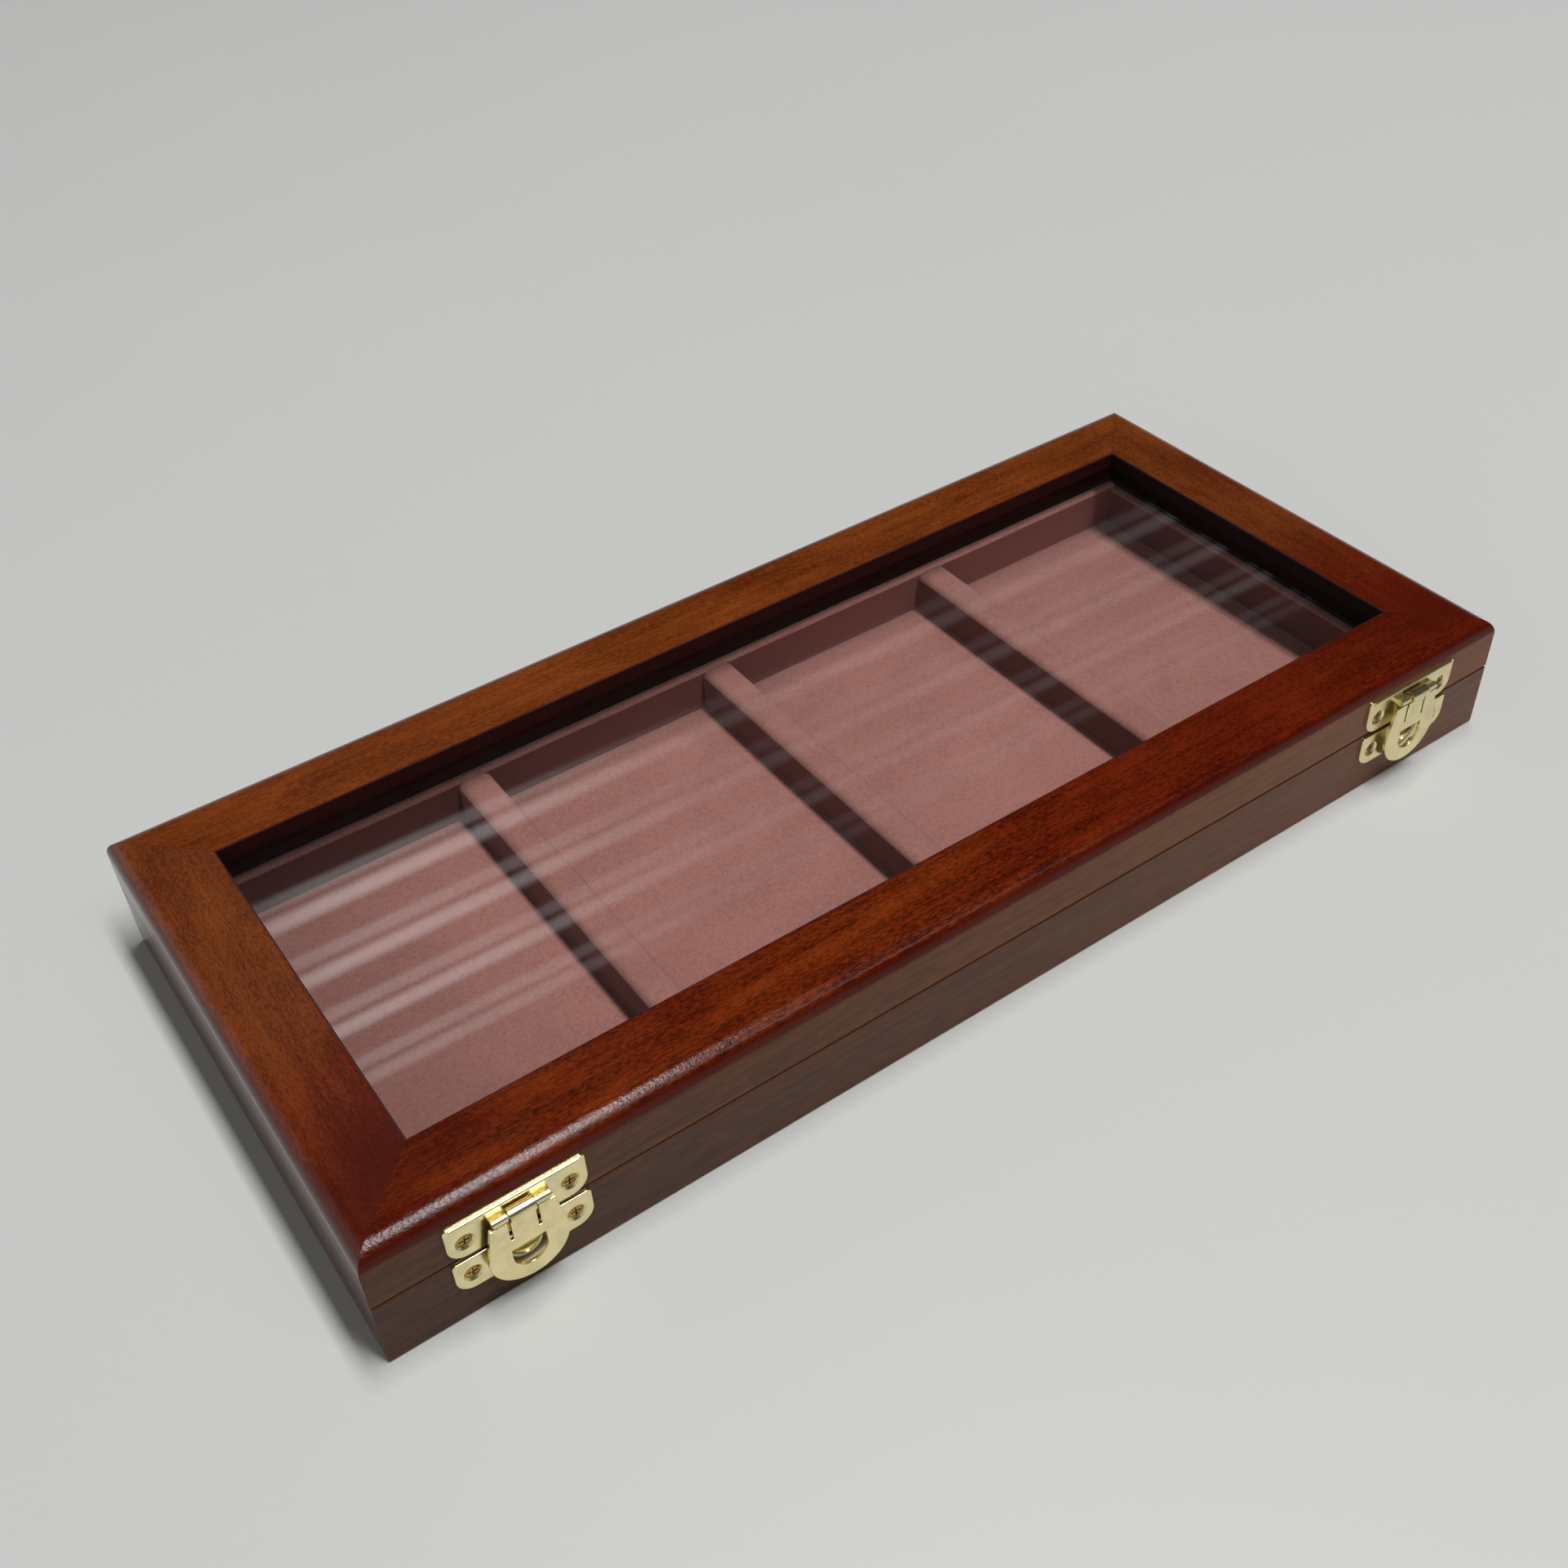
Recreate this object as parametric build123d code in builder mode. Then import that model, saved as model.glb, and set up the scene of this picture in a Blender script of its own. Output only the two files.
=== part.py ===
"""Medal display case: a shallow hinged wooden case with a glazed lid, a velour lining and two brass catches.

Millimetres. +X runs along the front to the right, +Y to the back and +Z up. The origin is on the table, under the
middle of the whole case with its catches and hinges. Left and right are as seen from the front.
"""

import os

from build123d import *

# Wooden case
case_length = 360.0
case_depth = 160.0
base_height = 21.0
lid_height = 17.0
wall = 15.4
easing = 0.4  # small chamfer on the outer arrises

# Lid frame and glass
frame_width = 22.8  # of the lid's top face, from the outside to the glass opening
lip_thickness = 4.7
roundover = 5.0
lip_easing = 0.5
glass_thickness = 2.0
glass_clearance = 0.5
strip_width = 3.4
strip_height = 3.0

# Bottom and lining
panel_thickness = 3.0
panel_recess = 0.5
panel_seat = 6.0  # width of the rebate that the bottom panel sits in
panel_clearance = 0.2
pad_thickness = 3.5
pad_clearance = 0.2
pad_rounding = 1.0
lining_thickness = 3.6
lining_drop = 0.2  # below the rim of the base
lining_rounding = 1.4

# Dividers
divider_names = ["left", "middle", "right"]
divider_thickness = 10.2
divider_drop = 0.3
divider_rounding = 4.0

# Screws, all alike
screw_head_radius = 1.9
screw_head_rim = 0.25
screw_head_depth = 1.2
screw_shank_radius = 1.0
screw_length = 9.0
screw_point = 2.0
screw_clearance = 0.05
screw_mouth = 1.0
cross_length = 2.6
cross_width = 0.5
cross_depth = 0.6

# Catch plates
catch_inset = 36.0  # from the end of the case to the middle of a catch
plate_width = 34.8
plate_thickness = 0.8
plate_gap = 1.4  # between the two plates, across the parting line
upper_plate_height = 11.5
lower_plate_height = 10.4
plate_corner = 4.6
plate_top_corner = 1.0
plate_softening = 0.2
lobe_radius = 6.0  # of the lower plate's foot, behind the hasp's belly
lobe_drop = 13.2  # of the lobe's lowest point, below the parting line
rim_height = 1.2
rim_reach = 1.4  # of the folded top rim, out from the wood
rim_softening = 0.5
catch_screw_spread = 13.0
upper_screw_rise = 5.6  # above the parting line
lower_screw_drop = 6.1  # below the parting line
catch_screw_sink = 0.5

# Nub on the lower plate
nub_drop = 6.1  # of its flat top, below the parting line
nub_radius = 4.1
nub_rise = 1.35

# Hasp and its pin
hasp_pin_rise = 9.0  # above the parting line
hasp_pin_reach = 2.8  # out from the wood
hasp_pin_radius = 0.65
pin_clearance = 0.05
lug_radius = 1.1
lug_width = 3.6
lug_web = 1.3
barrel_radius = 1.8
barrel_width = 6.3
barrel_gap = 0.4  # between the barrel and each lug
hasp_thickness = 0.9
hasp_clearance = 0.3  # between the hasp and the nub
hasp_softening = 0.2
shoulder_width = 16.0
shoulder_drop = 1.7  # below the pin
belly_radius = 10.0
belly_drop = 13.4  # of the belly's centre, below the pin
slot_width = 0.7
slot_length = 6.5
window_width = 8.6
window_drop = 11.5  # of the window's top edge, below the pin
window_straight = 3.3  # of its sides, above the half-round

# Hinges
hinge_inset = 70.0  # from the end of the case to the middle of a hinge
hinge_length = 25.0
leaf_thickness = 0.9
leaf_depth = 10.5
leaf_clearance = 0.1
knuckle_radius = 2.2
knuckle_gap = 0.2
knuckle_clearance = 0.25
hinge_pin_radius = 0.9
hinge_pin_head_radius = 1.5
hinge_pin_head = 0.6
hinge_screw_spread = 7.5
hinge_screw_inset = 6.0
hinge_screw_sink = 0.05

# Heights and faces that follow
parting = base_height
case_height = base_height + lid_height
lip_underside = case_height - lip_thickness
glass_underside = lip_underside - glass_thickness
panel_top = panel_recess + panel_thickness
floor = panel_top + pad_thickness
catch_reach = hasp_pin_reach + barrel_radius
front_face = -(case_depth + catch_reach + knuckle_radius) / 2 + catch_reach
back_face = front_face + case_depth
middle = (front_face + back_face) / 2
inner_length = case_length - 2 * (wall + lining_thickness)
inner_depth = case_depth - 2 * (wall + lining_thickness)
pin_height = parting + hasp_pin_rise
hasp_back = plate_thickness + nub_rise + hasp_clearance
up = Vector(0, 0, 1)

# Each side of the case: the middle of its outer foot, the way inwards, and its length
sides = {
    "front": (Vector(0, front_face, 0), Vector(0, 1, 0), case_length),
    "back": (Vector(0, back_face, 0), Vector(0, -1, 0), case_length),
    "left": (Vector(-case_length / 2, middle, 0), Vector(1, 0, 0), case_depth),
    "right": (Vector(case_length / 2, middle, 0), Vector(-1, 0, 0), case_depth),
}
catch_places = {"left": -case_length / 2 + catch_inset, "right": case_length / 2 - catch_inset}
hinge_places = {"left": -case_length / 2 + hinge_inset, "right": case_length / 2 - hinge_inset}

os.makedirs("parts", exist_ok=True)


def save(piece, label):
    """Name a finished piece and write it out under that name."""
    piece.part.label = label
    export_step(piece.part, f"parts/{label}.step")


def side_plane(side):
    """Plane across a side at its middle: local X runs inwards from the outer face, local Y up."""
    foot, inwards, _ = sides[side]
    return Plane(origin=foot, x_dir=inwards, z_dir=inwards.cross(up))


def mitred_length(side, section, rounded=(), chamfered=()):
    """Length of moulding for one side, cut at 45 degrees at both ends. The section's points are inwards and up."""
    across = side_plane(side)
    run = sides[side][2]
    with BuildPart() as moulding:
        with BuildSketch(across) as outline:
            with BuildLine():
                Polyline(*section, close=True)
            make_face()
            for corner, radius in rounded:
                fillet(outline.vertices().sort_by_distance(corner)[0], radius)
            for corner, size in chamfered:
                chamfer(outline.vertices().sort_by_distance(corner)[0], size)
        extrude(amount=run / 2, both=True)
        for end in (-1, 1):
            corner = across.from_local_coords(Vector(0, 0, end * run / 2))
            mitre = Plane(origin=corner, z_dir=across.x_dir + across.z_dir * end)
            split(bisect_by=mitre, keep=Keep.BOTTOM)
    return moulding.part


def screw_body(grow=0.0):
    """Countersunk screw, point down and its face at height 0, larger all round by grow."""
    head = screw_head_radius + grow
    shank = screw_shank_radius + grow
    with BuildPart() as body:
        with BuildSketch(Plane.XZ):
            with BuildLine():
                Polyline(
                    (0, 0),
                    (head, 0),
                    (head, -screw_head_rim),
                    (shank, -screw_head_depth),
                    (shank, screw_point - screw_length),
                    (0, -screw_length - grow),
                    close=True,
                )
            make_face()
        revolve(axis=Axis.Z)
    return body.part


with BuildPart() as screw:
    add(screw_body())
    with BuildSketch(Plane.XY.offset(-cross_depth)):
        Rectangle(cross_length, cross_width)
        Rectangle(cross_width, cross_length)
    extrude(amount=cross_depth, mode=Mode.SUBTRACT)

with BuildPart() as screw_hole:
    add(screw_body(screw_clearance))
    with BuildSketch():
        Circle(screw_head_radius + screw_clearance)
    extrude(amount=screw_mouth, taper=-45)


def catch_screw_places(x, height):
    """Where a catch plate's two screws stand, with their faces sunk below the plate's."""
    y = front_face - plate_thickness + catch_screw_sink
    spots = [(x + way * catch_screw_spread, y, height) for way in (-1, 1)]
    return [Plane(origin=spot, z_dir=(0, -1, 0)).location for spot in spots]


def hinge_screw_places(x, way):
    """Where a hinge leaf's two screws stand. way is 1 for the base's leaf, whose screws point down, and -1 for the lid's."""
    spots = [(x + step * hinge_screw_spread, back_face - hinge_screw_inset) for step in (-1, 1)]
    height = parting - way * hinge_screw_sink
    return [Plane(origin=(*spot, height), z_dir=(0, 0, way)).location for spot in spots]


def screw_set(places):
    """Separate alike screws, one at each place."""
    with BuildPart() as screws:
        with Locations(*places):
            add(screw.part)
    return screws


upper_screw_places = {side: catch_screw_places(x, parting + upper_screw_rise) for side, x in catch_places.items()}
lower_screw_places = {side: catch_screw_places(x, parting - lower_screw_drop) for side, x in catch_places.items()}
base_hinge_screw_places = {side: hinge_screw_places(x, 1) for side, x in hinge_places.items()}
lid_hinge_screw_places = {side: hinge_screw_places(x, -1) for side, x in hinge_places.items()}


def hinge_plane(x):
    """Plane across a hinge at its middle: local X runs inwards from the back face, local Y up from the parting."""
    return Plane(origin=(x, back_face, parting), x_dir=(0, -1, 0), z_dir=(-1, 0, 0))


# Room for a hinge in both back rails: a shallow mortise for the leaves and a round notch for the knuckles
notch_half_length = hinge_length / 2 + hinge_pin_head + knuckle_clearance
with BuildPart() as hinge_room:
    for x in hinge_places.values():
        with BuildSketch(hinge_plane(x)):
            Rectangle(leaf_depth + leaf_clearance, 2 * leaf_thickness, align=(Align.MIN, Align.CENTER))
        extrude(amount=hinge_length / 2 + leaf_clearance, both=True)
        with BuildSketch(hinge_plane(x)):
            Circle(knuckle_radius + knuckle_clearance)
        extrude(amount=notch_half_length, both=True)


def cut_rail(side, moulding, front_screws, back_screws):
    """A rail with the screw holes and hinge mortises that its side needs."""
    with BuildPart() as rail:
        add(moulding)
        if side == "back":
            add(hinge_room.part, mode=Mode.SUBTRACT)
        for places in {"front": front_screws, "back": back_screws}.get(side, {}).values():
            with Locations(*places):
                add(screw_hole.part, mode=Mode.SUBTRACT)
    return rail


# Base rails, with a rebate for the bottom panel
base_section = [
    (0, 0),
    (wall - panel_seat, 0),
    (wall - panel_seat, panel_top),
    (wall, panel_top),
    (wall, base_height),
    (0, base_height),
]
base_arrises = [((0, 0), easing), ((0, base_height), easing)]
for side in sides:
    base_rail = mitred_length(side, base_section, chamfered=base_arrises)
    save(cut_rail(side, base_rail, lower_screw_places, base_hinge_screw_places), f"base_{side}_rail")

# Lid rails, with a lip over the glass and a round outer edge
lid_section = [
    (0, parting),
    (wall, parting),
    (wall, lip_underside),
    (frame_width, lip_underside),
    (frame_width, case_height),
    (0, case_height),
]
lid_rounds = [((0, case_height), roundover), ((frame_width, case_height), lip_easing)]
for side in sides:
    lid_rail = mitred_length(side, lid_section, rounded=lid_rounds, chamfered=[((0, parting), easing)])
    save(cut_rail(side, lid_rail, upper_screw_places, lid_hinge_screw_places), f"lid_{side}_rail")

# Glass, resting on strips in the rebate of the lid
with BuildPart() as glass_pane:
    with BuildSketch(Plane.XY.offset(glass_underside)):
        with Locations((0, middle)):
            Rectangle(case_length - 2 * (wall + glass_clearance), case_depth - 2 * (wall + glass_clearance))
    extrude(amount=glass_thickness)
save(glass_pane, "glass_pane")

strip_section = [
    (wall, glass_underside - strip_height),
    (wall + strip_width, glass_underside - strip_height),
    (wall + strip_width, glass_underside),
    (wall, glass_underside),
]
for side in sides:
    with BuildPart() as glazing_strip:
        add(mitred_length(side, strip_section))
    save(glazing_strip, f"glazing_strip_{side}")

# Bottom panel, in the rebate of the base rails
panel_inset = wall - panel_seat + panel_clearance
with BuildPart() as bottom_panel:
    with BuildSketch(Plane.XY.offset(panel_recess)):
        with Locations((0, middle)):
            Rectangle(case_length - 2 * panel_inset, case_depth - 2 * panel_inset)
    extrude(amount=panel_thickness)
save(bottom_panel, "bottom_panel")

# Floor pad, between the walls
pad_inset = wall + pad_clearance
with BuildPart() as floor_pad:
    with BuildSketch(Plane.XY.offset(panel_top)):
        with Locations((0, middle)):
            Rectangle(case_length - 2 * pad_inset, case_depth - 2 * pad_inset)
    extrude(amount=pad_thickness)
    fillet(floor_pad.faces().sort_by(Axis.Z)[-1].edges(), pad_rounding)
save(floor_pad, "floor_pad")


def soft_bar(x, y, length, depth, height, rounding):
    """Velour-covered bar standing on the floor pad, its long top edges rounded."""
    along = Axis.X if length > depth else Axis.Y
    with BuildPart() as bar:
        with BuildSketch(Plane.XY.offset(floor)):
            with Locations((x, y)):
                Rectangle(length, depth)
        extrude(amount=height)
        fillet(bar.faces().sort_by(Axis.Z)[-1].edges().filter_by(along), rounding)
    return bar


# Lining strips: the long ones run from wall to wall and the short ones stand between them
lining_height = base_height - lining_drop - floor
long_lining = case_length - 2 * wall
lining_shift_x = case_length / 2 - wall - lining_thickness / 2
lining_shift_y = case_depth / 2 - wall - lining_thickness / 2
for side, way in (("front", -1), ("back", 1)):
    lining = soft_bar(
        0, middle + way * lining_shift_y, long_lining, lining_thickness, lining_height, lining_rounding
    )
    save(lining, f"lining_{side}")
for side, way in (("left", -1), ("right", 1)):
    lining = soft_bar(way * lining_shift_x, middle, lining_thickness, inner_depth, lining_height, lining_rounding)
    save(lining, f"lining_{side}")

# Dividers, evenly spaced between the linings
divider_height = base_height - divider_drop - floor
compartment = (inner_length - len(divider_names) * divider_thickness) / (len(divider_names) + 1)
for place, name in enumerate(divider_names):
    x = -inner_length / 2 + (place + 1) * compartment + (place + 0.5) * divider_thickness
    divider = soft_bar(x, middle, divider_thickness, inner_depth, divider_height, divider_rounding)
    save(divider, f"divider_{name}")


def catch_face(x, reach):
    """Upright plane in front of a catch, reach out from the wood: local X runs right and local Y up from the table."""
    return Plane(origin=(x, front_face - reach, 0), x_dir=(1, 0, 0), z_dir=(0, -1, 0))


def catch_section(x):
    """Plane across a catch at x: local X runs inwards from the front face, local Y up from the table."""
    return Plane(origin=(x, front_face, 0), x_dir=(0, 1, 0), z_dir=(1, 0, 0))


def front_edges(piece):
    """Edges round the frontmost flat face of a piece."""
    return piece.faces().filter_by(Axis.Y).sort_by(Axis.Y)[0].edges()


def upper_catch_plate(x):
    """Plate on the lid: rounded at its foot, with a folded rim along its top and two curled lugs for the pin."""
    foot = parting + plate_gap / 2
    rim_length = plate_width - 2 * (plate_top_corner + rim_softening)
    lug_middle = (barrel_width + lug_width) / 2 + barrel_gap
    with BuildPart() as plate:
        with BuildSketch(catch_face(x, 0)) as outline:
            with Locations((0, foot)):
                Rectangle(plate_width, upper_plate_height, align=(Align.CENTER, Align.MIN))
            fillet(outline.vertices().group_by(Axis.Y)[0], plate_corner)
            fillet(outline.vertices().group_by(Axis.Y)[-1], plate_top_corner)
        extrude(amount=plate_thickness)
        fillet(front_edges(plate), plate_softening)
        with BuildSketch(catch_face(x, 0)):
            with Locations((0, foot + upper_plate_height)):
                Rectangle(rim_length, rim_height, align=(Align.CENTER, Align.MAX))
        extrude(amount=rim_reach)
        fillet(front_edges(plate).filter_by(Axis.X), rim_softening)
        for way in (-1, 1):
            with BuildSketch(catch_section(x + way * lug_middle)):
                with Locations((-hasp_pin_reach, pin_height)):
                    Circle(lug_radius)
                    Rectangle(hasp_pin_reach - plate_thickness / 2, lug_web, align=(Align.MIN, Align.CENTER))
            extrude(amount=lug_width / 2, both=True)
        with BuildSketch(catch_section(x)):
            with Locations((-hasp_pin_reach, pin_height)):
                Circle(hasp_pin_radius + pin_clearance)
        extrude(amount=plate_width / 2, both=True, mode=Mode.SUBTRACT)
    return plate


def lower_catch_plate(x):
    """Plate on the base: a rounded foot, a lobe behind the hasp's belly and a half-round nub, flat side up."""
    dome_radius = (nub_radius**2 + nub_rise**2) / (2 * nub_rise)
    nub_top = (x, front_face - plate_thickness, parting - nub_drop)
    with BuildPart() as plate:
        with BuildSketch(catch_face(x, 0)) as outline:
            with Locations((0, parting - plate_gap / 2)):
                Rectangle(plate_width, lower_plate_height, align=(Align.CENTER, Align.MAX))
            fillet(outline.vertices().group_by(Axis.Y)[0], plate_corner)
            fillet(outline.vertices().group_by(Axis.Y)[-1], plate_top_corner)
            with Locations((0, parting - lobe_drop + lobe_radius)):
                Circle(lobe_radius)
        extrude(amount=plate_thickness)
        fillet(front_edges(plate), plate_softening)
        with BuildSketch(Plane(origin=nub_top, x_dir=(1, 0, 0), z_dir=(0, 0, -1))):
            with BuildLine():
                RadiusArc((nub_radius, 0), (0, nub_rise), -dome_radius)
                Polyline((0, nub_rise), (0, 0), (nub_radius, 0))
            make_face()
        revolve(axis=Axis(nub_top, (0, 1, 0)), revolution_arc=180)
    return plate


def drill(plate, places):
    """A plate with dished holes for its screws."""
    with BuildPart() as drilled:
        add(plate.part)
        with Locations(*places):
            add(screw_hole.part, mode=Mode.SUBTRACT)
    return drilled


def hasp(x):
    """Hasp: a plate with narrow shoulders and a round belly, slotted beside a tongue that curls round the pin."""
    shoulder_height = pin_height - shoulder_drop
    slot_foot = shoulder_height - slot_length
    window_top = pin_height - window_drop
    window_half = window_width / 2
    with BuildPart() as flap:
        with BuildSketch(catch_face(x, hasp_back)):
            with Locations((0, pin_height - belly_drop)):
                Circle(belly_radius)
            with Locations((0, shoulder_height)):
                Rectangle(shoulder_width, hasp_thickness, align=(Align.CENTER, Align.MAX))
            make_hull()
            with Locations((0, slot_foot)):
                with Locations((-(barrel_width + slot_width) / 2, 0), ((barrel_width + slot_width) / 2, 0)):
                    Rectangle(slot_width, 2 * slot_length, align=(Align.CENTER, Align.MIN), mode=Mode.SUBTRACT)
            with BuildLine():
                half_round = CenterArc((0, window_top - window_straight), window_half, 180, 180)
                Polyline(half_round @ 0, (-window_half, window_top), (window_half, window_top), half_round @ 1)
            make_face(mode=Mode.SUBTRACT)
        extrude(amount=hasp_thickness)
        fillet(front_edges(flap), hasp_softening)
        with BuildSketch(catch_face(x, hasp_back)):
            with Locations((0, pin_height)):
                Rectangle(barrel_width, 2 * shoulder_drop, align=(Align.CENTER, Align.MAX))
        extrude(amount=hasp_thickness)
        with BuildSketch(catch_section(x)):
            with Locations((-hasp_pin_reach, pin_height)):
                Circle(barrel_radius)
        extrude(amount=barrel_width / 2, both=True)
        with BuildSketch(catch_section(x)):
            with Locations((-hasp_pin_reach, pin_height)):
                Circle(hasp_pin_radius + pin_clearance)
        extrude(amount=barrel_width, both=True, mode=Mode.SUBTRACT)
    return flap


def hasp_pin(x):
    """Wire that the hasp swings on, as long as the lugs and the barrel together."""
    with BuildPart() as pin:
        with BuildSketch(catch_section(x)):
            with Locations((-hasp_pin_reach, pin_height)):
                Circle(hasp_pin_radius)
        extrude(amount=barrel_width / 2 + barrel_gap + lug_width, both=True)
    return pin


for side, x in catch_places.items():
    save(drill(upper_catch_plate(x), upper_screw_places[side]), f"{side}_upper_catch_plate")
    save(drill(lower_catch_plate(x), lower_screw_places[side]), f"{side}_lower_catch_plate")
    save(screw_set(upper_screw_places[side]), f"{side}_upper_catch_screws")
    save(screw_set(lower_screw_places[side]), f"{side}_lower_catch_screws")
    save(hasp(x), f"{side}_hasp")
    save(hasp_pin(x), f"{side}_hasp_pin")

knuckle_width = (hinge_length - 2 * knuckle_gap) / 3
knuckle_step = knuckle_width + knuckle_gap


def hinge_leaf(x, side_of_parting, knuckle_middles, places):
    """Leaf flush in its mortise, above or below the parting, with its share of the knuckles."""
    across = hinge_plane(x)
    edge = Align.MIN if side_of_parting == "above" else Align.MAX
    leaf_start = knuckle_radius + knuckle_clearance
    with BuildPart() as leaf:
        with BuildSketch(across):
            with Locations((leaf_start, 0)):
                Rectangle(leaf_depth - leaf_start, leaf_thickness, align=(Align.MIN, edge))
        extrude(amount=hinge_length / 2, both=True)
        for knuckle_middle in knuckle_middles:
            with BuildSketch(across.offset(knuckle_middle)):
                Circle(knuckle_radius)
                Rectangle(leaf_start, leaf_thickness, align=(Align.MIN, edge))
            extrude(amount=knuckle_width / 2, both=True)
        with BuildSketch(across):
            Circle(hinge_pin_radius + pin_clearance)
        extrude(amount=hinge_length, both=True, mode=Mode.SUBTRACT)
        with Locations(*places):
            add(screw_hole.part, mode=Mode.SUBTRACT)
    return leaf


def hinge_pin(x):
    """Pin through the knuckles, with a small head outside each end."""
    across = hinge_plane(x)
    with BuildPart() as pin:
        with BuildSketch(across):
            Circle(hinge_pin_radius)
        extrude(amount=hinge_length / 2, both=True)
        for way in (-1, 1):
            with BuildSketch(across.offset(way * hinge_length / 2)):
                Circle(hinge_pin_head_radius)
            extrude(amount=way * hinge_pin_head)
    return pin


for side, x in hinge_places.items():
    base_leaf = hinge_leaf(x, "below", (-knuckle_step, knuckle_step), base_hinge_screw_places[side])
    lid_leaf = hinge_leaf(x, "above", (0,), lid_hinge_screw_places[side])
    save(base_leaf, f"{side}_hinge_base_leaf")
    save(lid_leaf, f"{side}_hinge_lid_leaf")
    save(hinge_pin(x), f"{side}_hinge_pin")
    save(screw_set(base_hinge_screw_places[side]), f"{side}_hinge_base_screws")
    save(screw_set(lid_hinge_screw_places[side]), f"{side}_hinge_lid_screws")
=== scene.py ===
"""Looks of the medal display case: stained wood, velour, glass and brass round its packed construction.

Metres. +X runs along the front to the right, +Y to the back and +Z up, and the origin is on the table.
Left and right are as seen from the front.
"""

import math

import bpy
import numpy as np
from bpy.props import FloatProperty, FloatVectorProperty, PointerProperty
from mathutils import Matrix, Vector


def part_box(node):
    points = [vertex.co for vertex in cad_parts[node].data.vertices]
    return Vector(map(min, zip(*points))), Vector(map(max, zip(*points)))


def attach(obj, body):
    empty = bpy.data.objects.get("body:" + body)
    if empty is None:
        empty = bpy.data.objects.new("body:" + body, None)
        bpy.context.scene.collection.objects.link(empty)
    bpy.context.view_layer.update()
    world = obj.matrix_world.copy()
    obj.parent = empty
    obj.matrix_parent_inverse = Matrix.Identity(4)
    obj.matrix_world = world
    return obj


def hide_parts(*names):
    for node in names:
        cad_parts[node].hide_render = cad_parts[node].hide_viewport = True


bl_info = {
    "name": "Medal display case",
    "version": (1, 0, 0),
    "blender": (4, 5, 0),
    "location": "3D View > Sidebar > Display case",
    "description": "Dresses a hinged wooden display case in stain, velour, glass and brass",
    "category": "Object",
}

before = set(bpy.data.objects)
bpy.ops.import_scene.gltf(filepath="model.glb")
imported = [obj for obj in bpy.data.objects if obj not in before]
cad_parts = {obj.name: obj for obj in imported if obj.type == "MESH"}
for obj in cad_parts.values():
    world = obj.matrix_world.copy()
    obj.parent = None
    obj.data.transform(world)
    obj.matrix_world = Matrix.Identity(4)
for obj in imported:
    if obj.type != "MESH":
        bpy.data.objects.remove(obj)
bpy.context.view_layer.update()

millimetre = 0.001
half_turn = math.pi
quarter_turn = math.pi / 2

# The wooden case, from its rails
case_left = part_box("base_left_rail")[0].x
case_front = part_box("base_front_rail")[0].y
case_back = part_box("base_back_rail")[1].y
half_length = -case_left
half_depth = (case_back - case_front) / 2
middle = (case_back + case_front) / 2
case_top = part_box("lid_front_rail")[1].z
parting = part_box("base_front_rail")[1].z
frame_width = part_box("lid_front_rail")[1].y - case_front
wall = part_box("glazing_strip_front")[0].y - case_front
lip_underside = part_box("glass_pane")[1].z
roundover = 5.0 * millimetre
round_foot = case_top - roundover
rail_sides = ("front", "back", "left", "right")

# Figure of the wood, each size along and across the grain
glow_size = (35 * millimetre, 10 * millimetre)
patch_size = (60 * millimetre, 30 * millimetre)
mottle_size = (8 * millimetre, 2.6 * millimetre)
pore_size = (3.5 * millimetre, 0.4 * millimetre)
peel_size = (0.9 * millimetre, 0.8 * millimetre)
arch_size = (30 * millimetre, 6 * millimetre)

# Where the finish changes, from its start to its full amount: depths lie along Y and lengths along X
red_depths = (2 * millimetre, -40 * millimetre)
corner_lengths = (-20 * millimetre, 110 * millimetre)
corner_depths = (-35 * millimetre, -60 * millimetre)
mitre_depths = (-20 * millimetre, -60 * millimetre)
thick_lengths = (-60 * millimetre, -130 * millimetre)
mitre_reach = 45 * millimetre
patch_drift = 40 * millimetre

# Colours that belong to one mark each
mitre_line = (0.02, 0.004, 0.002)
# Painted shade and reflection on the hasp's barrel top
barrel_shade_colour = (0.48, 0.34, 0.19)
# Painted shade in the screws' cross recesses and on their upper halves
recess_shade_colour = (0.30, 0.16, 0.040)

# Velour bars: the gap on each side, the soft ends, the corners at the foot and the waves in radians per metre
bar_slack = 0.1 * millimetre
bar_end = 0.8 * millimetre
bar_end_shrink = 0.14
bar_foot_radius = 0.3 * millimetre
sway_waves = (41, 97)
sag_waves = (63, 171)


def colour(name, description, default):
    """A colour that the user can change."""
    limits = {"subtype": "COLOR", "size": 3, "min": 0, "max": 1}
    return FloatVectorProperty(name=name, description=description, default=default, **limits)


def length(name, description, default):
    """A length that the user can change, in metres."""
    limits = {"unit": "LENGTH", "min": 0, "precision": 5}
    return FloatProperty(name=name, description=description, default=default, **limits)


def offset(name, description, default):
    """A place off the case's middle that the user can change, in metres, and that may be negative."""
    return FloatProperty(name=name, description=description, unit="LENGTH", default=default)


def share(name, description, default):
    """A number from 0 to 1 that the user can change."""
    limits = {"subtype": "FACTOR", "min": 0, "max": 1}
    return FloatProperty(name=name, description=description, default=default, **limits)


def strength(name, description, default, unit="NONE"):
    """The strength of a light that the user can change."""
    return FloatProperty(name=name, description=description, unit=unit, min=0, default=default)


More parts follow.
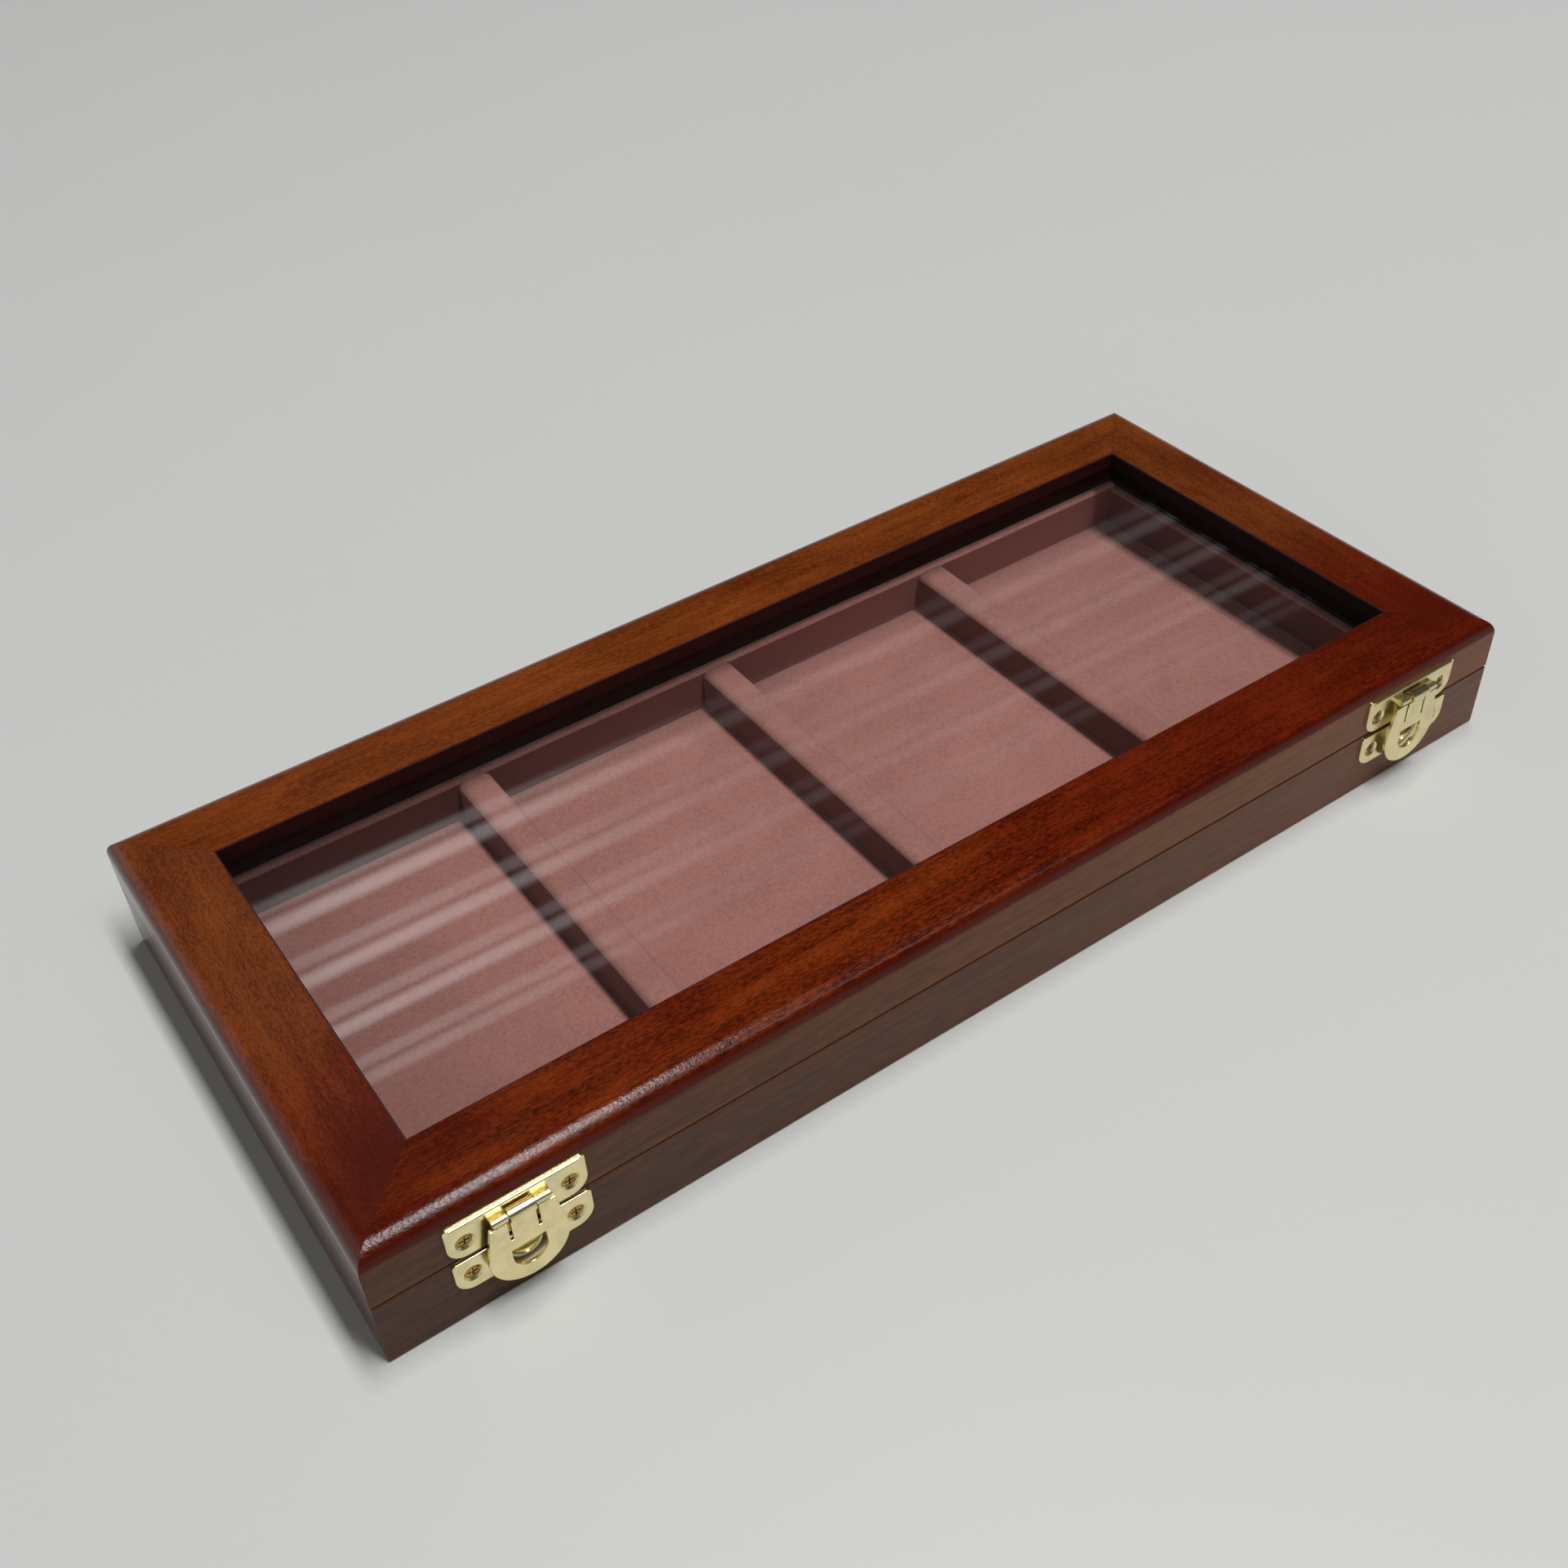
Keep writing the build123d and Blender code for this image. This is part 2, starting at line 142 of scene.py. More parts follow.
class WoodLooks(bpy.types.PropertyGroup):
    """Stain and lacquer of the rails."""

    brown_stain: colour("Brown stain", "Towards the back", (0.150, 0.034, 0.0050))
    red_stain: colour("Red stain", "Towards the front", (0.104, 0.0092, 0.0008))
    lid_side_stain: colour("Lid side stain", "On the upright faces of the lid", (0.130, 0.036, 0.0040))
    base_side_stain: colour("Base side stain", "On the upright faces of the base", (0.096, 0.026, 0.0040))
    # Also laid on the steep part of the roundover as painted shade and reflection
    soak_and_shade_stain: colour("Soaked stain", "Where it ran into the front mitres", (0.058, 0.0040, 0.0012))
    rebate_stain: colour("Rebate stain", "Round the glass", (0.026, 0.0010, 0.0006))
    contrast: share("Contrast", "Between dense and open wood in front", 0.64)
    back_contrast: share("Contrast behind", "Between dense and open wood of the other rails", 0.42)
    gloss: share("Gloss", "Of the lacquer", 0.23)
    left_gloss: share("Left gloss", "Of the thicker lacquer on the lid's left rail", 0.5)
    base_left_gloss: share("Base left gloss", "Of the thickest lacquer, on the base's left rail", 0.8)
    roughness: share("Roughness", "Of the lacquer", 0.12)
    fleck_length: length("Fleck length", "Of the short flecks along the grain", 1.8 * millimetre)
    fleck_width: length("Fleck width", "Of the short flecks across the grain", 0.5 * millimetre)
    streak_length: length("Streak length", "Of the long fibres", 45 * millimetre)
    streak_width: length("Streak width", "Of the long fibres", 1.3 * millimetre)
    ripple_height: length("Ripple height", "Of the brushed lacquer", 0.085 * millimetre)


class VelourLooks(bpy.types.PropertyGroup):
    """Velour on the floor, the linings and the dividers."""

    pile: colour("Pile", "Colour of the pile seen from above", (0.49, 0.222, 0.194))
    ground: colour("Ground", "Colour between the tufts", (0.31, 0.128, 0.110))
    # Painted shade: the upright velour faces of linings and dividers take this darker colour
    nap_and_shade: colour("Nap", "Colour of the pile on upright faces", (0.150, 0.050, 0.043))
    tuft: length("Tuft", "Size of one tuft of the pile", 0.4 * millimetre)
    pile_height: length("Pile height", "How far the tufts stand out", 0.12 * millimetre)
    sheen: share("Sheen", "Of the pile at a low angle", 0.7)


class BrassLooks(bpy.types.PropertyGroup):
    """Plated brass of the catches, hinges and screws."""

    catch: colour("Catch", "Pale gold plating of the catches", (0.89, 0.77, 0.43))
    hinge: colour("Hinge", "Plating of the hinges", (0.85, 0.70, 0.36))
    screw: colour("Screw", "Plating of the screws", (0.70, 0.50, 0.18))
    roughness: share("Roughness", "Of the plating", 0.21)


class StageLooks(bpy.types.PropertyGroup):
    """Table, lamp and room."""

    table: colour("Table", "Colour of the plain table", (0.62, 0.63, 0.612))
    lamp_height: length("Lamp height", "Above the table", 4.6)
    lamp_width: length("Lamp width", "Of the ceiling lamp, from left to right", 0.60)
    lamp_length: length("Lamp length", "Of the ceiling lamp, from front to back", 3.2)
    lamp_power: strength("Lamp power", "Of the ceiling lamp", 200, "POWER")
    lamp_x: offset("Lamp to the right", "Of the case's middle", 0.66)
    lamp_y: offset("Lamp to the back", "Of the case's middle", -0.83)
    room: share("Room", "Brightness of the dim room", 0.035)
    tube: strength("Tube", "Of the thin lamp up in front, to the right", 5.5)
    wash: share("Wash", "Faint light from the front and the left", 0.14)
    left_wash: share("Left wash", "Faint light from low down all along the left", 0.34)
    walls: share("Walls", "Brightness of the room's walls where they are seen, low down", 0.42)
    daylight: strength("Daylight", "Of the brightest stripes", 1.45)


class CaseLooks(bpy.types.PropertyGroup):
    """Everything about the case that the user can change."""

    wood: PointerProperty(type=WoodLooks)
    velour: PointerProperty(type=VelourLooks)
    brass: PointerProperty(type=BrassLooks)
    stage: PointerProperty(type=StageLooks)


class Signal:
    """A value, vector or colour on its way between nodes. Sums and products of values add Math nodes."""

    def __init__(self, sheet, socket):
        self.sheet = sheet
        self.socket = socket

    def maths(self, operation, *others):
        """A Math node on this value and the others."""
        return self.sheet.node("ShaderNodeMath", {"operation": operation}, dict(enumerate((self, *others))))

    def __add__(self, other):
        return self.maths("ADD", other)

    def __radd__(self, other):
        return self.maths("ADD", other)

    def __sub__(self, other):
        return self.maths("SUBTRACT", other)

    def __rsub__(self, other):
        return self.sheet.node("ShaderNodeMath", {"operation": "SUBTRACT"}, {0: other, 1: self})

    def __mul__(self, other):
        return self.maths("MULTIPLY", other)

    def __rmul__(self, other):
        return self.maths("MULTIPLY", other)

    def __truediv__(self, other):
        return self.maths("DIVIDE", other)

    def __abs__(self):
        return self.maths("ABSOLUTE")

    def at_least(self, other):
        """The larger of this value and the other."""
        return self.maths("MAXIMUM", other)

    def at_most(self, other):
        """The smaller of this value and the other."""
        return self.maths("MINIMUM", other)

    def rise(self, low, high):
        """Smooth change from 0 where this value is low to 1 where it is high. Low may be the larger one."""
        settings = {"interpolation_type": "SMOOTHSTEP"}
        if low < high:
            return self.sheet.node("ShaderNodeMapRange", settings, {0: self, 1: low, 2: high})
        return self.sheet.node("ShaderNodeMapRange", settings, {0: self, 1: high, 2: low, 3: 1.0, 4: 0.0})

    def stretched(self, *sizes):
        """This point measured in the given sizes along X, Y and Z."""
        steps = [1 / size for size in sizes]
        return self.sheet.node("ShaderNodeVectorMath", {"operation": "MULTIPLY"}, {0: self, 1: steps})

    def part(self, axis):
        """One of the three numbers of this point."""
        return self.sheet.node("ShaderNodeSeparateXYZ", {}, {0: self}, "XYZ"[axis])

    def mixed(self, other, amount):
        """This colour with an amount of the other in it."""
        return self.sheet.mix(self, other, amount)


class Sheet:
    """The nodes of one material or of the world."""

    def __init__(self, owner):
        owner.use_nodes = True
        self.tree = owner.node_tree
        self.tree.nodes.clear()

    def node(self, kind, settings, sockets, out=0):
        """A node of a kind, with its settings made first and then its sockets' values or links."""
        made = self.tree.nodes.new(kind)
        for name, value in settings.items():
            setattr(made, name, value)
        for name, value in sockets.items():
            if isinstance(value, Signal):
                self.tree.links.new(value.socket, made.inputs[name])
            else:
                made.inputs[name].default_value = value
        return Signal(self, made.outputs[out])

    def place(self):
        """The point on the object, in metres."""
        return self.node("ShaderNodeTexCoord", {}, {}, "Object")

    def noise(self, point, detail=2.0, roughness=0.5, warp=0.0):
        """Noise from 0 to 1 whose blots are about as large as one step of the point."""
        sockets = {
            "Vector": point,
            "Scale": 1.0,
            "Detail": detail,
            "Roughness": roughness,
            "Distortion": warp,
        }
        return self.node("ShaderNodeTexNoise", {}, sockets, "Fac")

    def mix(self, first, second, amount):
        """Colour between two, the second's share being the amount."""
        made = self.tree.nodes.new("ShaderNodeMix")
        made.data_type = "RGBA"
        for socket, value in ((made.inputs[0], amount), (made.inputs[6], first), (made.inputs[7], second)):
            if isinstance(value, Signal):
                self.tree.links.new(value.socket, socket)
            else:
                socket.default_value = value if isinstance(value, float) else (*value, 1.0)
        return Signal(self, made.outputs[2])

    def bump(self, height):
        """Normal of a surface raised by a height in metres."""
        return self.node("ShaderNodeBump", {}, {"Strength": 1.0, "Distance": 1.0, "Height": height})

    def finish(self, surface, kind="ShaderNodeOutputMaterial"):
        """Send a shader to the output."""
        output = self.tree.nodes.new(kind)
        self.tree.links.new(surface.socket, output.inputs["Surface"])


def new_material(name):
    """A material and the sheet for its nodes."""
    material = bpy.data.materials.new(name)
    return material, Sheet(material)


def dress(node, material):
    """Give a construction piece its material and the slot that it takes its finish from."""
    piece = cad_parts[node]
    piece.data.materials.clear()
    piece.data.materials.append(material)
    return piece


class Rail:
    """A point on a rail: its place on the case and the figure of the wood there.

    The shift moves each rail's figure, so no two rails are cut from the same spot.
    """

    def __init__(self, sheet, side, shift, looks):
        self.sheet = sheet
        self.side = side
        self.looks = looks
        place = sheet.place()
        self.x, self.y, self.z = (place.part(axis) for axis in range(3))
        self.upright = 1 - abs(sheet.node("ShaderNodeTexCoord", {}, {}, "Normal").part(2))
        off_end = half_length - abs(self.x)
        off_side = half_depth - abs(self.y - middle)
        self.off_edge = off_end.at_most(off_side)
        self.off_mitre = abs(off_end - off_side)
        contrast = looks.contrast if side == "front" else looks.back_contrast
        self.dark = 1 - contrast
        self.light = 1 + contrast
        turn = quarter_turn if side in ("left", "right") else 0.0
        sockets = {"Vector": place, "Location": shift, "Rotation": (0, 0, turn)}
        self.grain = sheet.node("ShaderNodeMapping", {}, sockets)
        self.glow = self.noise(glow_size, 3.0, 0.5, 0.4)
        self.fibres = self.noise((looks.streak_length, looks.streak_width), 2.0, 0.6, 0.3)
        self.flecks = self.noise((looks.fleck_length, looks.fleck_width), 2.0, 0.6, 0.3)
        self.mottle = self.noise(mottle_size, 2.0, 0.6, 0.5)
        self.patches = self.noise(patch_size, 2.0, 0.5)
        figure = self.glow * 0.55 + self.mottle * 0.4 + self.fibres * 0.45 + self.flecks * 1.15
        self.tone = (figure - 0.775).rise(0.18, 0.82)

    def noise(self, size, detail, roughness, warp=0.0):
        """Noise whose blots are about as long and as wide as the two sizes."""
        along, across = size
        return self.sheet.noise(self.grain.stretched(along, across, across), detail, roughness, warp)

    def two_toned(self, stain, tone):
        """A stain from its dense dark wood to its open light wood."""
        return self.sheet.mix(stain * self.dark, stain * self.light, tone)

    def top_stain(self):
        """Brown at the back, turning red at the front and most of all at the right front corner."""
        looks = self.looks
        brown = self.two_toned(looks.brown_stain * (0.84 if self.side == "right" else 1.0), self.tone)
        red = self.two_toned(looks.red_stain, self.tone)
        to_front = (self.y + self.patches * patch_drift - patch_drift / 2).rise(*red_depths)
        to_right = self.x.rise(*corner_lengths) * self.y.rise(*corner_depths)
        redness = to_front * 0.64 + to_right * 0.75 + self.patches * 0.40 - self.glow * 0.9 + 0.42
        stain = brown.mixed(red, redness.at_most(1.0).at_least(0.0))
        stain = stain.mixed(looks.soak_and_shade_stain, to_right * 0.3)
        return stain.mixed(looks.brown_stain * 1.7, self.growth_line() * 0.4)

    def growth_line(self):
        """Thin arched lines across the rail, seen where the wood glows.

        A line is where the way along the grain, plus half the square of the way across it, is a whole number
        and a half. Both ways are measured in arch sizes, and the patches shift the lines.
        """
        arch_length, arch_width = arch_size
        across = (self.grain.part(1) / arch_width).maths("POWER", 2.0)
        arch = self.grain.part(0) / arch_length + across * 0.5 + self.patches * 1.6
        return abs(arch.maths("FRACT") - 0.5).rise(0.06, 0.0) * self.glow.rise(0.45, 0.62)

    def soaked(self):
        """How much stain ran into the front mitres, with less of it in the front rail."""
        near_mitre = self.off_mitre.rise(mitre_reach, 0.0) * self.y.rise(*mitre_depths)
        return near_mitre * (self.patches * 0.8 + 0.3) * (0.55 if self.side == "front" else 1.0)

    def roundover_shade(self):
        """1 on the steep part of the roundover, where painted shade and reflection go."""
        return self.upright.rise(0.20, 0.42) * self.off_edge.rise(8 * millimetre, 6 * millimetre)

    def side_tone(self):
        """Softer figure of the upright faces, lighter to the right."""
        soft = (self.mottle + self.fibres).rise(0.6, 1.4)
        return self.x.rise(-0.16, 0.16) * 0.5 + soft * 0.4 + self.tone * 0.1

    def on_side(self):
        """1 on the upright faces and on the arris at the foot of the roundover."""
        arris = self.off_edge.rise(0.7 * millimetre, 0.5 * millimetre)
        arris = arris * self.z.rise(round_foot + millimetre, round_foot)
        return (self.upright + self.flecks * 0.06 - 0.03).rise(0.78, 0.87).at_least(arris)

    def on_seam(self):
        """1 on the outer arrises where the lid meets the base."""
        near_parting = abs(self.z - parting).rise(0.6 * millimetre, 0.3 * millimetre)
        return near_parting * self.off_edge.rise(1.0 * millimetre, 0.6 * millimetre)

    def in_rebate(self):
        """1 on the lip's face and on the wall below the lip."""
        lip_face = self.off_edge.rise(frame_width - 0.7 * millimetre, frame_width - 0.3 * millimetre)
        inner_wall = self.off_edge.rise(wall - 0.3 * millimetre, wall - 0.1 * millimetre)
        below_lip = self.z.rise(lip_underside + 0.3 * millimetre, lip_underside + 0.1 * millimetre)
        return lip_face.at_least(inner_wall * below_lip)

    def lacquer(self):
        """Height of the lacquer: orange peel, most of it at the left end, raised flecks and sunken pores."""
        orange_peel = self.noise(peel_size, 3.0, 0.6, 0.5)
        pores = self.noise(pore_size, 1.0, 0.5).rise(0.35, 0.1)
        thick_end = self.x.rise(*thick_lengths) * 0.75 + 0.25
        return (orange_peel * thick_end + self.flecks * 0.25 - pores * 0.2) * self.looks.ripple_height


def stained_wood(name, side, shift, side_stain, looks, gloss):
    """Lacquered, stained hardwood with short flecks, long fibres and faint arched growth lines.

    Upright faces have the drab tone of the side stain, and the rebate round the glass has its own dark stain.
    Painted shade darkens the steep part of the roundover and the right rail's rebate, and painted light
    lightens the front seam.
    """
    material, sheet = new_material(name)
    rail = Rail(sheet, side, shift, looks)
    stain = rail.top_stain()
    stain = stain.mixed(looks.soak_and_shade_stain, rail.soaked())
    # Painted shade and reflection: the steep part of the roundover takes the dark soaked stain
    stain = stain.mixed(looks.soak_and_shade_stain, rail.roundover_shade() * 0.8)
    stain = stain.mixed(rail.two_toned(side_stain, rail.side_tone()), rail.on_side())
    # Painted light: the front seam's arrises take the lighter side stain, to thin the shaded line of the gap
    if side == "front":
        stain = stain.mixed(side_stain, rail.on_seam())
    stain = stain.mixed(mitre_line, rail.off_mitre.rise(0.22 * millimetre, 0.08 * millimetre) * 0.3)
    rebated = rail.in_rebate()
    # The rebate is painted darker still on the right rail: painted shade
    stain = stain.mixed(looks.rebate_stain * (0.3 if side == "right" else 1.0), rebated)
    sockets = {
        "Base Color": stain,
        "Roughness": looks.roughness + rail.flecks * 0.12 + rebated * 0.5,
        "IOR": 1.5,
        "Specular IOR Level": gloss,
        "Normal": sheet.bump(rail.lacquer()),
    }
    sheet.finish(sheet.node("ShaderNodeBsdfPrincipled", {}, sockets))
    return material


def plywood(name):
    """Thin unfinished plywood: pale wood with soft long grain."""
    material, sheet = new_material(name)
    grain = sheet.place()
    figure = sheet.noise(grain.stretched(120 * millimetre, 4 * millimetre, 0.6 * millimetre), 3.0, 0.55, 0.5)
    fibres = sheet.noise(grain.stretched(30 * millimetre, 0.6 * millimetre, 0.6 * millimetre), 2.0, 0.5)
    dense = (0.42, 0.26, 0.13)
    pale = (0.62, 0.44, 0.25)
    sockets = {
        "Base Color": sheet.mix(dense, pale, (figure * 0.7 + fibres * 0.4).rise(0.3, 0.85)),
        "Roughness": 0.6 + fibres * 0.15,
        "Normal": sheet.bump(fibres * (0.03 * millimetre)),
    }
    sheet.finish(sheet.node("ShaderNodeBsdfPrincipled", {}, sockets))
    return material


def velour(name, looks, shift, painted_light_factors=(1.0, 1.0), painted_light_span=(-0.15, 0.15)):
    """Short-pile velour: tufts that tilt a little this way and that, and a sheen at a low angle.

    Its brightness is painted light, shade and sheen painted into the pile: it goes from the first to the
    second brightness factor as X goes from the first to the second place given.
    """
    material, sheet = new_material(name)
    place = sheet.node("ShaderNodeMapping", {}, {"Vector": sheet.place(), "Location": shift})
    tufts = sheet.noise(place.stretched(looks.tuft, looks.tuft, looks.tuft), 2.0, 0.6)
    clump = 1.1 * millimetre
    fluff = sheet.noise(place.stretched(clump, clump, clump), 2.0, 0.6, 0.2)
    brushed = sheet.noise(place.stretched(30 * millimetre, 18 * millimetre, 20 * millimetre), 2.0, 0.5, 0.6)
    tone = (tufts * 0.6 + fluff * 0.45 + brushed * 0.3 - 0.17).rise(0.2, 0.8)
    upright = 1 - abs(sheet.node("ShaderNodeTexCoord", {}, {}, "Normal").part(2))
    # Painted shade and sheen: a ramp along X that scales the pile's brightness
    painted_light_ramp = sheet.place().part(0).rise(*painted_light_span)
    pile = sheet.mix(looks.ground * painted_light_factors[0], looks.pile * painted_light_factors[0], tone)
    pile = pile.mixed(sheet.mix(looks.ground * painted_light_factors[1], looks.pile * painted_light_factors[1], tone), painted_light_ramp)
    nap_and_shade = sheet.mix(looks.nap_and_shade * painted_light_factors[0], looks.nap_and_shade * painted_light_factors[1], painted_light_ramp)
    # Painted shade on the upright faces
    pile = pile.mixed(nap_and_shade, upright.rise(0.55, 0.95))
    height = (tufts * 0.6 + fluff * 0.4) * looks.pile_height
    surface = sheet.node(
        "ShaderNodeBsdfPrincipled",
        {},
        {
            "Base Color": pile,
            "Roughness": 0.9,
            "Specular IOR Level": 0.15,
            "Sheen Weight": looks.sheen,
            "Sheen Roughness": 0.4,
            "Sheen Tint": (1.0, 0.72, 0.68, 1.0),
            "Normal": sheet.bump(height),
        },
    )
    sheet.finish(surface)
    return material


def plated_brass(name, tint, roughness, barrel_shade_height=None):
    """Polished plating, uneven and duller in places, and painted brown above a height if one is given:
    painted shade and reflection of the dark room.
    """
    material, sheet = new_material(name)
    place = sheet.place()
    blot = 4 * millimetre
    cloud = sheet.noise(place.stretched(blot, blot, blot), 2.0, 0.5)
    polish = sheet.noise(place.stretched(4.5 * millimetre, 0.4 * millimetre, 1.2 * millimetre), 2.0, 0.5)
    dull = tuple(part * 0.86 for part in tint)
    metal = sheet.mix(dull, tuple(tint), cloud.rise(0.3, 0.65))
    if barrel_shade_height is not None:
        barrel_shade = place.part(2).rise(barrel_shade_height, barrel_shade_height + 0.5 * millimetre)
        metal = metal.mixed(barrel_shade_colour, barrel_shade * 0.8)
    sockets = {
        "Base Color": metal,
        "Metallic": 1.0,
        "Roughness": roughness + polish * 0.08,
        "Normal": sheet.bump(polish * (0.002 * millimetre) + cloud * (0.02 * millimetre)),
    }
    sheet.finish(sheet.node("ShaderNodeBsdfPrincipled", {}, sockets))
    return material


def screw_brass(name, tint, roughness, screws, outwards):
    """Plated screw with a slightly domed face, and dark brown painted shade in its cross.

    The dome is a paraboloid about the nearer screw's middle, and the painted shade starts a little below the
    face.
    A screw on the front is also painted browner on its upper half, as painted shade and reflection of the
    dark room above. The screws' node holds two alike, side by side along X, and outwards is the axis that
    they face and its sign.
    """
    material, sheet = new_material(name)
    place = sheet.place()
    lo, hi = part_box(screws)
    axis, way = outwards
    flat = 3 - axis
    radius = (hi[flat] - lo[flat]) / 2
    centre = (lo + hi) / 2
    aside = abs(abs(place.part(0) - centre.x) - ((hi.x - lo.x) / 2 - radius))
    above = place.part(flat) - centre[flat]
    off_middle = (aside * aside + above * above) / (radius * radius)
    face = hi[axis] if way > 0 else lo[axis]
    depth = (face - place.part(axis)) * way
    # Painted shade in the cross recess, starting a little below the face
    recess_shade = depth.rise(0.35 * millimetre, 0.90 * millimetre)
    # Painted shade and reflection on the upper half of a screw on the front
    shade = (above / radius).rise(-0.25, 0.45) * (1 - recess_shade) * 0.6 if axis == 1 else 0.0
    blot = 1.2 * millimetre
    cloud = sheet.noise(place.stretched(blot, blot, blot), 2.0, 0.5)
    metal = sheet.mix(tuple(part * 0.6 for part in tint), tuple(tint), cloud.rise(0.3, 0.7))
    sockets = {
        "Base Color": metal.mixed(recess_shade_colour, recess_shade.at_least(shade) * 0.85),
        "Metallic": 1.0,
        "Roughness": roughness + cloud * 0.1 + recess_shade * 0.3,
        "Normal": sheet.bump((1 - off_middle) * (0.6 * millimetre) + cloud * (0.02 * millimetre)),
    }
    sheet.finish(sheet.node("ShaderNodeBsdfPrincipled", {}, sockets))
    return material


def clear_glass(name):
    """Clear pane that lets the lamp's and the room's light through to what lies behind it."""
    material, sheet = new_material(name)
    smear = sheet.noise(sheet.place().stretched(50 * millimetre, 30 * millimetre, 30 * millimetre), 2.0, 0.5)
    sockets = {
        "Base Color": (0.97, 0.985, 0.975, 1.0),
        "Roughness": smear * 0.02,
        "IOR": 1.5,
        "Transmission Weight": 1.0,
    }
    pane = sheet.node("ShaderNodeBsdfPrincipled", {}, sockets)
    through = sheet.node("ShaderNodeBsdfTransparent", {}, {"Color": (0.92, 0.925, 0.92, 1.0)})
    ray = sheet.node("ShaderNodeLightPath", {}, {}, "Is Shadow Ray")
    bounce = sheet.node("ShaderNodeLightPath", {}, {}, "Is Diffuse Ray")
    sheet.finish(sheet.node("ShaderNodeMixShader", {}, {0: ray.at_least(bounce), 1: pane, 2: through}))
    return material


def table_top(name, looks):
    """Plain pale table, a little satin."""
    material, sheet = new_material(name)
    blot = 250 * millimetre
    cloud = sheet.noise(sheet.place().stretched(blot, blot, blot), 2.0, 0.5)
    pale = tuple(part * 0.97 for part in looks.table)
    sockets = {"Base Color": sheet.mix(pale, tuple(looks.table), cloud), "Roughness": 0.45}
    sheet.finish(sheet.node("ShaderNodeBsdfPrincipled", {}, sockets))
    return material


def rounded_section(width, height, top_radius, foot_radius, spacing):
    """Closed outline of a bar's cross-section, anticlockwise, as (across, up) points from its foot's middle.

    Each corner is a quarter circle of its radius about its own centre. The points are evenly spaced along the
    outline by measuring its length from point to point and reading it off at equal steps.
    """
    turn = np.linspace(0, quarter_turn, 13)
    corners = [
        (width / 2 - foot_radius, foot_radius, foot_radius, -quarter_turn),
        (width / 2 - top_radius, height - top_radius, top_radius, 0.0),
        (top_radius - width / 2, height - top_radius, top_radius, quarter_turn),
        (foot_radius - width / 2, foot_radius, foot_radius, half_turn),
    ]
    arcs = [
        np.stack([x + radius * np.cos(start + turn), z + radius * np.sin(start + turn)], axis=1)
        for x, z, radius, start in corners
    ]
    outline = np.concatenate([*arcs, arcs[0][:1]])
    run = np.concatenate([[0.0], np.cumsum(np.hypot(*np.diff(outline, axis=0).T))])
    steps = np.linspace(0, run[-1], int(run[-1] / spacing), endpoint=False)
    return np.stack([np.interp(steps, run, outline[:, 0]), np.interp(steps, run, outline[:, 1])], axis=1)


def closed_tube(name, rings):
    """Mesh over rings of points, each joined to the next and the ends closed on their middles."""
    count, around, _ = rings.shape
    points = np.concatenate([rings.reshape(-1, 3), rings[0].mean(0)[None], rings[-1].mean(0)[None]])
    ring, spot = np.meshgrid(np.arange(count - 1), np.arange(around), indexing="ij")
    following = (spot + 1) % around
    corners = [
        ring * around + spot,
        ring * around + following,
        (ring + 1) * around + following,
        (ring + 1) * around + spot,
    ]
    walls = np.stack(corners, axis=-1).reshape(-1, 4)
    here = np.arange(around)
    there = (here + 1) % around
    last = (count - 1) * around
    first_cap = np.stack([there, here, np.full(around, count * around)], axis=1)
    last_cap = np.stack([last + here, last + there, np.full(around, count * around + 1)], axis=1)
    mesh = bpy.data.meshes.new(name)
    mesh.from_pydata(points.tolist(), [], [*walls.tolist(), *first_cap.tolist(), *last_cap.tolist()])
    mesh.shade_smooth()
    mesh.validate()
    piece = bpy.data.objects.new(name, mesh)
    bpy.context.scene.collection.objects.link(piece)
    return piece


def soft_bar(name, node, top_radius, spacing, wander, sink):
    """Padded bar in the place of a construction piece, along its longer side.

    Each cross-section is a rounded outline. Two slow sines along the bar move it sideways, in proportion to
    the height of the point, and two others sink it, in proportion to the square of that height. Near both
    ends the outline shrinks towards its middle as a quarter circle does, so the ends are soft.
    """
    lo, hi = (np.array(corner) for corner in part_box(node))
    size = hi - lo
    along = 0 if size[0] > size[1] else 1
    across = 1 - along
    section = rounded_section(size[across] - 2 * bar_slack, size[2], top_radius, bar_foot_radius, spacing)
    steps = np.linspace(0, size[along], int(size[along] / (2 * spacing)))
    steps = steps[(steps > bar_end) & (steps < size[along] - bar_end)]
    ease = bar_end * (1 - np.cos(np.linspace(0, quarter_turn, 6)))
    steps = np.unique(np.concatenate([ease, size[along] - ease, steps]))
    to_end = np.minimum(np.minimum(steps, size[along] - steps) / bar_end, 1.0)
    fullness = 1 - bar_end_shrink + bar_end_shrink * np.sqrt(1 - (1 - to_end) ** 2)
    phase = len(name)
    slow, quick = sway_waves
    sideways = wander * (np.sin(steps * slow + phase) + 0.6 * np.sin(steps * quick + 2 * phase)) / 1.6
    slow, quick = sag_waves
    sunk = sink * (1 + 0.6 * np.sin(steps * slow + 3 * phase) + 0.4 * np.sin(steps * quick + phase)) / 2
    rings = np.zeros((len(steps), len(section), 3))
    rise = section[:, 1] / size[2]
    rings[:, :, along] = lo[along] + steps[:, None]
    rings[:, :, across] = (lo + hi)[across] / 2 + section[:, 0] * fullness[:, None] + sideways[:, None] * rise
    lowered = section[:, 1] - sunk[:, None] * rise**2
    centre_height = size[2] / 2
    rings[:, :, 2] = lo[2] + centre_height + (lowered - centre_height) * fullness[:, None]
    if along == 1:
        rings = rings[:, ::-1]
    piece = closed_tube(name, rings)
    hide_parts(node)
    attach(piece, "base")
    return piece


